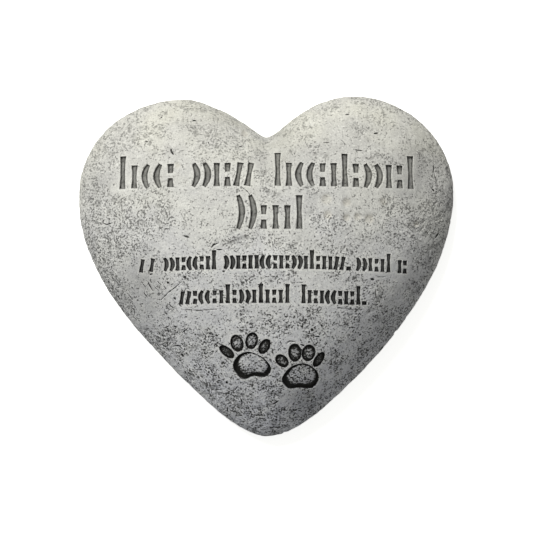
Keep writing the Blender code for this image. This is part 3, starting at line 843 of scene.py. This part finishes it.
# Cement in one of its finishes, from a look: sizes are metres on the stone, colours sRGB.
def cementMaterial(name, look):
    material = bpy.data.materials.new(name)
    material.use_nodes = True
    tree = material.node_tree
    tree.nodes.clear()
    add = partial(addNode, tree)
    where = add("ShaderNodeTexCoord").outputs["Object"]
    worn = {}
    for label in ("pit", "calm", "zone", "lip", "stain", "dimple", "wash", "side"):
        worn[label] = add("ShaderNodeAttribute", attribute_name=label).outputs["Fac"]
    apart = 0.1  # each noise is read this much further off, so that none follows another
    fields = {}
    for label, detail, roughness in (
        ("patch", 2, 0.5), ("bloom", 3, 0.5), ("streak", 2, 0.6), ("sand", 3, 0.65),
        ("speck", 2, 0.6), ("cluster", 2, 0.5), ("hair", 1, 0.5),
    ):
        shift = apart * (len(fields) + 1)
        moved = add("ShaderNodeMapping", where, (shift, shift / 2, -shift))
        fields[label] = add("ShaderNodeTexNoise", {
            "Vector": moved, "Scale": 1 / look[label + "Size"],
            "Detail": detail, "Roughness": roughness,
        })

    # colours, each laid over the last: in patches, towards the point, in the dimples, as a bloom,
    # then as a pale dry brush with painted highlight on the mouths of the strokes, and as painted
    # highlights on single grains
    upward = add("ShaderNodeSeparateXYZ", where).outputs[1]
    patch = add("ShaderNodeMapRange", fields["patch"], *look["patchRamp"], **smooth)
    lower = add("ShaderNodeMapRange", upward, *look["pointRamp"])
    tinted = add("ShaderNodeMapRange", worn["dimple"], *look["tintedRamp"], 0, look["tinted"])
    bloom = add("ShaderNodeMapRange", fields["bloom"], *look["bloomRamp"], 0, look["bloom"])
    # the dry brush and painted highlight around the mouths, and painted highlights on single grains
    lip = add("ShaderNodeMath", worn["lip"], look["lip"], operation="MULTIPLY")
    glint = add("ShaderNodeMapRange", fields["speck"], *look["glintRamp"], 0, look["glint"])
    brushedAndHighlit = add("ShaderNodeMath", lip, glint, operation="MAXIMUM")
    colour = linear(look["cool"])
    for share, tint in (
        (patch, "warm"), (lower, "point"), (tinted, "earth"), (bloom, "light"), (brushedAndHighlit, "light"),
    ):
        layers = {6: colour, 7: linear(look[tint])}
        colour = add("ShaderNodeMix", share, layers, data_type="RGBA").outputs[2]

    # lighter and darker grains; painted light and shade as a slow fade across the stone, lighter
    # towards the lower left and darker towards the upper right; and the stains, some of which are
    # painted light and shade too
    most, least = 1 + look["sand"], 1 - look["sand"]
    tone = add("ShaderNodeMapRange", fields["sand"], *look["sandRamp"], least, most)
    along = add("ShaderNodeVectorMath", where, look["paintedShadingTowards"], operation="DOT_PRODUCT")
    most, least = 1 + look["paintedShading"], 1 - look["paintedShading"]
    paintedShading = add("ShaderNodeMapRange", along.outputs["Value"], *look["paintedShadingRamp"], least, most)
    tone = add("ShaderNodeMath", tone, paintedShading, operation="MULTIPLY")
    # darker where stained or painted shade, lighter where bleached or painted light
    clearOfStainAndPaintedLight = add("ShaderNodeMath", 1.0, worn["stain"], operation="SUBTRACT")
    tone = add("ShaderNodeMath", tone, clearOfStainAndPaintedLight, operation="MULTIPLY")
    colour = add("ShaderNodeVectorMath", colour, {"Scale": tone}, operation="SCALE")

    # specks between the sand grains hold the dark wash: more of them in the rough zones, towards
    # the point and under a wash, fewer beside the strokes and in the dimples, all in clusters
    pointed = add("ShaderNodeMapRange", upward, *look["pointedRamp"])
    lively = add("ShaderNodeMapRange", worn["zone"], 0, 1, look["fewSpecks"], look["manySpecks"])
    quiet = add("ShaderNodeMapRange", worn["calm"], 0, 1, -look["calmer"], 0)
    gathered = look["clustering"]
    cluster = add("ShaderNodeMapRange", fields["cluster"], *look["sandRamp"], -gathered, gathered)
    limit = add("ShaderNodeMath", lively, quiet, operation="ADD")
    limit = add("ShaderNodeMath", limit, cluster, operation="ADD")
    for share, more in (
        (pointed, look["pointSpecks"]), (worn["wash"], look["washSpecks"]),
        (worn["dimple"], look["dimpleSpecks"]),
    ):
        limit = add("ShaderNodeMath", share, more, limit, operation="MULTIPLY_ADD")
    under = add("ShaderNodeMath", limit, fields["speck"], operation="SUBTRACT")
    dark = add("ShaderNodeMapRange", under, *look["speckRamp"])

    # short hair cracks, where a field crosses its middle and the clusters are dense
    hair = add("ShaderNodeMath", fields["hair"], 0.5, operation="SUBTRACT")
    hair = add("ShaderNodeMath", hair, operation="ABSOLUTE")
    wide = look["hairWidth"]
    hair = add("ShaderNodeMapRange", hair, wide, look["hairCore"] * wide)
    follow = look["hairFollow"]
    dense = add("ShaderNodeMath", limit, follow, fields["streak"], operation="MULTIPLY_ADD")
    dense = add("ShaderNodeMapRange", dense, *look["hairRamp"])
    hair = add("ShaderNodeMath", hair, dense, operation="MULTIPLY")
    dark = add("ShaderNodeMath", dark, hair, operation="MAXIMUM")

    # pinholes left by air against the mould
    cells = add("ShaderNodeTexVoronoi", {"Vector": where, "Scale": 1 / look["pinholeSpacing"]})
    chance = add("ShaderNodeSeparateColor", cells.outputs["Color"])
    there = add("ShaderNodeMath", chance, look["pinholes"], operation="LESS_THAN")
    radius = look["pinholeRadius"] / look["pinholeSpacing"]
    core = look["pinholeCore"] * radius
    dot = add("ShaderNodeMapRange", cells.outputs["Distance"], radius, core)
    pinhole = add("ShaderNodeMath", there, dot, operation="MULTIPLY")
    dark = add("ShaderNodeMath", dark, pinhole, operation="MAXIMUM")

    pitted = add("ShaderNodeMapRange", worn["pit"], *look["pitRamp"], 0, look["pitWash"])
    least, most = look["thinSpecks"], look["speckWash"]
    strength = add("ShaderNodeMapRange", pointed, *look["thinRamp"], least, most)
    shade = add("ShaderNodeMath", dark, strength, operation="MULTIPLY")
    shade = add("ShaderNodeMath", shade, pitted, operation="MAXIMUM")

    # the wash laid into the strokes, prints and nicks, darker along their sides as pooled wash and
    # as painted shade under the walls
    streak = add("ShaderNodeMapRange", fields["streak"], *look["sandRamp"], look["thinWash"], 1)
    sunk = add("ShaderNodeMapRange", worn["wash"], *look["washRamp"], **smooth)
    pooledAndShaded = add("ShaderNodeMath", worn["side"], operation="ABSOLUTE")
    pooledAndShaded = add("ShaderNodeMapRange", pooledAndShaded, *look["poolAndShadeRamp"], 1 - look["poolAndShade"], 1, **smooth)
    washed = add("ShaderNodeMath", sunk, streak, operation="MULTIPLY")
    washed = add("ShaderNodeMath", washed, pooledAndShaded, operation="MULTIPLY")
    for share, tint in ((shade, "dark"), (washed, "washColour")):
        layers = {6: colour, 7: linear(look[tint])}
        colour = add("ShaderNodeMix", share, layers, data_type="RGBA").outputs[2]

    deep = -look["speckDepth"]
    bump = add("ShaderNodeMath", dark, deep, fields["sand"], operation="MULTIPLY_ADD")
    normal = add("ShaderNodeBump", {
        "Strength": look["bump"], "Distance": look["bumpDepth"], "Height": bump,
    })
    shader = add("ShaderNodeBsdfPrincipled", {
        "Base Color": colour, "Roughness": look["roughness"], "IOR": look["ior"],
        "Specular IOR Level": look["specular"], "Normal": normal,
    })
    add("ShaderNodeOutputMaterial", shader)
    return material


# Cement cast in a rubber mould and left rough: a dull, chalky surface with sand in it, IOR about
# 1.5 and roughness about 0.9. A thin dark wash stays in its pinholes, and a pale dry brush on what
# stands proud; around the mouths of the strokes and prints and on single grains the pale is painted
# highlight too. The sand is drawn at 1 mm, coarser than real, so that it shows.
castLook = {
    # the stone's colours
    "warm": "#d6d5ca",
    "cool": "#cccbc4",
    "point": "#c7c9ce",  # the colour turns to this towards the heart's point
    "earth": "#bfbbaf",  # in the dimples
    "light": "#eeeee6",  # of the bloom, of the dry brush with its painted highlight, and of the painted highlights on single grains
    "dark": "#363632",  # of the wash in the specks and pits
    "washColour": "#4a4a48",  # of the wash in the strokes and prints
    # sizes of the noises
    "patchSize": 0.034,
    "bloomSize": 0.009,
    "sandSize": 0.0010,
    "speckSize": 0.00122,
    "clusterSize": 0.0055,
    "hairSize": 0.0045,
    "streakSize": 0.0022,
    # how strong each thing is
    "tinted": 0.60,
    "bloom": 0.35,
    # the pale dry brush around the strokes and prints, with painted highlight
    "lip": 0.55,
    # painted highlights on single grains
    "glint": 0.6,
    "sand": 0.16,
    # painted light and shade: a slow fade, lighter towards the lower left and darker towards the
    # upper right, in place of more key light from the left
    "paintedShading": 0.04,
    "paintedShadingTowards": (-0.6, -0.8, 0),
    "speckWash": 0.97,
    "thinSpecks": 0.46,  # the wash is thinner on the lobes than towards the point
    "pitWash": 0.30,
    "thinWash": 0.78,
    # darker along the sides of a sunk floor: pooled wash, and painted shade under the walls
    "poolAndShade": 0.15,
    # how much of the speck noise is specks
    "fewSpecks": 0.325,
    "manySpecks": 0.41,
    "calmer": 0.03,
    "clustering": 0.05,
    "pointSpecks": 0.045,
    "washSpecks": 0.0,
    "dimpleSpecks": -0.05,
    "hairWidth": 0.022,
    "hairCore": 0.3,  # of the width, fully dark
    "hairFollow": 0.25,  # how closely the hair cracks follow the specks
    "pinholes": 0.16,
    "pinholeSpacing": 0.0042,
    "pinholeRadius": 0.0006,
    "pinholeCore": 0.6,  # of the radius, fully dark
    # where each noise or value begins to show and where it is full
    "patchRamp": (0.38, 0.62),
    "bloomRamp": (0.45, 0.75),
    "glintRamp": (0.60, 0.68),
    "sandRamp": (0.3, 0.7),
    "speckRamp": (-0.015, 0.03),
    "hairRamp": (0.66, 0.72),
    "pitRamp": (0.08, 0.55),
    "tintedRamp": (0, 0.5),
    "thinRamp": (0, 0.85),
    "washRamp": (0.02, 0.30),
    "poolAndShadeRamp": (0.25, 0.85),
    "paintedShadingRamp": (-0.1, 0.1),
    "pointRamp": (0.10, -0.10),  # metres up the stone, for its colour and then its specks
    "pointedRamp": (0.09, -0.06),
    # the surface
    "speckDepth": 1.3,  # how deep a speck is, in swings of the sand
    "bump": 0.85,
    "bumpDepth": 0.0005,
    "roughness": 0.92,
    "ior": 1.5,
    "specular": 0.25,
}
castCement = cementMaterial("cast cement with a light dry brush", castLook)
# The same cement under washes laid on with a brush, thin in the large strokes and near black in the
# small, each with its own share of pooled wash and painted shade along the sides.
largeWash = cementMaterial("grey wash in the large strokes", {
    **castLook, "washColour": "#343430", "poolAndShade": 0.26,
})
smallWash = cementMaterial("dark wash in the small strokes", {
    **castLook, "washColour": "#1c1c1a", "washRamp": (0.01, 0.20), "poolAndShade": 0.08,
    "thinWash": 0.93, "specular": 0.12,
})
nickWash = cementMaterial("dark wash in the nicks", {
    **castLook, "washColour": "#30302d", "washRamp": (0.01, 0.22), "poolAndShade": 0.05,
    "thinWash": 0.93, "specular": 0.12,
})
pawWash = cementMaterial("dark wash in the paw prints", {
    **castLook, "washColour": "#2a2a28", "washRamp": (0.0, 0.92), "poolAndShade": 0.0,
    "thinWash": 0.94, "specular": 0.12, "fewSpecks": 0.36, "calmer": 0.0, "washSpecks": 0.30,
})
print("finishes mixed")

bare = bareCasting()
print("bare casting:", len(bare.data.polygons), "faces")

strokes = strokeTree()
cutters = []
for name, lines, depth, wash in (
    ("large_strokes", rowLines(largeStrokes), largeStrokes["depth"], largeWash),
    ("small_strokes", rowLines(smallStrokes), smallStrokes["depth"], smallWash),
    ("nicks", nickLines(), nicks["depth"], nickWash),
):
    path = layLines(name + "_lines", lines)
    values = {**strokeShape, "Dome": bare, "Depth": depth, "Wash": wash}
    cutter = runTree(path, strokes, values, name)
    bpy.data.objects.remove(path, do_unlink=True)
    faceOutward(cutter)
    cutters.append(cutter)
print("strokes and nicks swept:", [len(cutter.data.polygons) for cutter in cutters])

rng = np.random.default_rng(paws["seed"])
prints = {"paw_pads": [], "even_toes": [], "odd_toes": []}  # none touches another of its group
for label in ("left", "right"):
    paw = paws[label]
    place = Vector((paw["place"][0] * halfWidth, paw["place"][1] * halfLength))
    shift = np.array(paw["padShift"]) * paws["padWidth"]
    prints["paw_pads"].append(pressedShape(
        label + "_pad", padOutline(paw["pad"], place), paws["padDepth"], paws["padFloor"],
        paw["padWash"], shift, rng,
    ))
    for number, (*shape, wash) in enumerate(paw["toes"]):
        prints["odd_toes" if number % 2 else "even_toes"].append(pressedShape(
            f"{label}_toe_{number}", toeOutline(shape, place), paws["toeDepth"],
            paws["toeFloor"], wash, np.zeros(2), rng,
        ))
for name, shapes in prints.items():
    for shape in shapes:
        faceOutward(shape)
    cutters.append(joined(name, shapes))
print("paws pressed")

marks = joined("marks", [
    addObject(cutter.name + "_copy", cutter.data.copy())
    for cutter in cutters if cutter.name != "nicks"
])
worn = runTree(bare, skinTree(), {**skin, "Marks": marks, "Finish": castCement}, "worn_casting")
bpy.data.objects.remove(marks, do_unlink=True)

# the worn skin goes back to the exact size of the cast
flat = np.empty(3 * len(worn.data.vertices), np.float32)
worn.data.vertices.foreach_get("co", flat)
places = flat.reshape(-1, 3)
low, high = places.min(axis=0), places.max(axis=0)
places[:] = np.array(lowCorner) + (places - low) / (high - low) * np.array(highCorner - lowCorner)
worn.data.vertices.foreach_set("co", flat)
worn.data.update()
print("skin worn, brought back by", (high - low) * 1000, "mm")

for cutter in cutters:
    boolean = worn.modifiers.new(cutter.name, "BOOLEAN")
    boolean.object = cutter
    boolean.operation = "DIFFERENCE"
    boolean.solver = "MANIFOLD"
    boolean.material_mode = "TRANSFER"  # each cut keeps its own wash
bpy.context.view_layer.update()
carved = bpy.data.meshes.new_from_object(worn.evaluated_get(bpy.context.evaluated_depsgraph_get()))
carved.name = "weathered_heart"
stone = addObject("weathered_heart", carved)
for helper in [bare, worn, *cutters]:
    bpy.data.objects.remove(helper, do_unlink=True)
carved.calc_loop_triangles()
print("carved:", len(carved.loop_triangles), "triangles in", len(carved.materials), "finishes")

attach(stone, "root")
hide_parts("heart_stone")

# A white sweep lit from below and behind, which leaves hardly a shadow, and one soft key light.
studio = {
    "paper": "#f4f4f2",
    "paperGlow": 0.80,
    "paperWidth": 40.0,
    "paperHeight": -0.0002,  # just under the stone
    "keyTowards": (-0.406, 0.650, 0.643),
    "key": 2.9,
    "keyAngle": 26,
    "keyColour": "#fffefb",
    "skyBelow": 0.25,
    "skyAbove": 0.40,
    "skyColour": "#ededed",
    "backdrop": "#ffffff",
    "sensorWidth": 36,  # mm
    "cameraHeight": 1.2,
    "framedWidth": 0.356,  # across the picture at the widest line's height
    "cameraShift": (0.00017, -0.00007),
}

floorMesh = bpy.data.meshes.new("studio_floor")
reach, level = studio["paperWidth"] / 2, studio["paperHeight"]
corners = [(x * reach, y * reach, level) for x, y in ((-1, -1), (1, -1), (1, 1), (-1, 1))]
floorMesh.from_pydata(corners, [], [(0, 1, 2, 3)])
floor = addObject("studio_floor", floorMesh)
paper = bpy.data.materials.new("back-lit white paper")
paper.use_nodes = True
paperShader = paper.node_tree.nodes["Principled BSDF"]
for label, value in (
    ("Base Color", linear(studio["paper"])), ("Roughness", 1.0), ("Specular IOR Level", 0.0),
    ("Emission Color", linear(studio["paper"])), ("Emission Strength", studio["paperGlow"]),
):
    paperShader.inputs[label].default_value = value
floorMesh.materials.append(paper)
floor.visible_diffuse = False  # the stone's flanks stay as dark as in a large dim room

sun = bpy.data.lights.new("key", "SUN")
sun.energy = studio["key"]
sun.color = linear(studio["keyColour"])[:3]
sun.angle = math.radians(studio["keyAngle"])
key = bpy.data.objects.new("key", sun)
key.rotation_euler = Vector(studio["keyTowards"]).to_track_quat("Z", "Y").to_euler()
bpy.context.scene.collection.objects.link(key)

# the room is brighter overhead than below, and pure white where the camera looks at it
world = bpy.data.worlds.new("studio")
world.use_nodes = True
bpy.context.scene.world = world
world.node_tree.nodes.clear()
add = partial(addNode, world.node_tree)
upward = add("ShaderNodeSeparateXYZ", add("ShaderNodeTexCoord").outputs["Generated"]).outputs[2]
strength = add("ShaderNodeMapRange", upward, -1, 1, studio["skyBelow"], studio["skyAbove"])
dim = add("ShaderNodeBackground", linear(studio["skyColour"]), strength)
pale = add("ShaderNodeBackground", linear(studio["backdrop"]), 1.0)
seen = add("ShaderNodeLightPath").outputs["Is Camera Ray"]
mixed = add("ShaderNodeMixShader", seen, dim, pale)
add("ShaderNodeOutputWorld", mixed)
bpy.context.scene.view_settings.view_transform = "Standard"

lens = bpy.data.cameras.new("camera")
lens.sensor_width = studio["sensorWidth"]
distance = studio["cameraHeight"] - heart["girthHeight"]
lens.lens = studio["sensorWidth"] * distance / studio["framedWidth"]
camera = bpy.data.objects.new("camera", lens)
camera.location = (*studio["cameraShift"], studio["cameraHeight"])
bpy.context.scene.collection.objects.link(camera)
bpy.context.scene.camera = camera
print("studio set")
